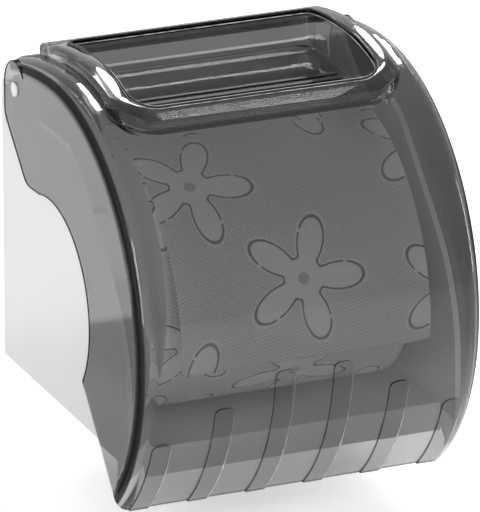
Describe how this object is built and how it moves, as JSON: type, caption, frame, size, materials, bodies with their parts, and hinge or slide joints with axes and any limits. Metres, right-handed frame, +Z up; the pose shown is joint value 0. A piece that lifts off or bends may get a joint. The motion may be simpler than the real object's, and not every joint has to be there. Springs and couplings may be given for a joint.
{
  "type": "wall-hung toilet roll holder",
  "caption": "Wall-hung holder for a toilet roll: white housing, smoked see-through lift-up cover with a tray on top, and a sprung spindle.",
  "frame": {"origin": "midway between the two wall-screw holes, on the wall plane at the back plate's rear face", "axes": "+Z up, +X to the right seen from the front, -Y out of the wall towards the user"},
  "size_m": [0.125, 0.1301, 0.1412],
  "materials": {
    "white_plastic": "semi-gloss moulded",
    "smoked_plastic": "clear smoked, polished",
    "spring_steel": "bright drawn wire",
    "board": "wound grey board",
    "tissue": "embossed tissue"
  },
  "bodies": {
    "housing": {"housing": "white_plastic", "paper_sheet": "tissue"},
    "cover": {"cover": "smoked_plastic"},
    "spindle": {"spindle_sleeve": "white_plastic", "spindle_spring": "spring_steel"},
    "plunger": {"spindle_plunger": "white_plastic"},
    "roll": {"roll_core": "board", "paper_roll": "tissue"}
  },
  "joints": [
    {"name": "cover_hinge", "type": "hinge", "parent": "housing", "child": "cover", "pos_m": [0, -0.0183, 0.0298], "axis": [-1, 0, 0], "range_deg": [0, 85]},
    {"name": "spindle_turn", "type": "hinge", "parent": "housing", "child": "spindle", "pos_m": [0, -0.062, -0.0148], "axis": [1, 0, 0], "continuous": true},
    {"name": "plunger_slide", "type": "slide", "parent": "spindle", "child": "plunger", "axis": [-1, 0, 0], "range_m": [0, 0.008], "stiffness_N_per_m": 300, "springref_m": -0.01, "deforming": ["spindle_spring"]},
    {"name": "roll_spin", "type": "hinge", "parent": "housing", "child": "roll", "pos_m": [0, -0.062, -0.0225], "axis": [1, 0, 0], "continuous": true}
  ]
}
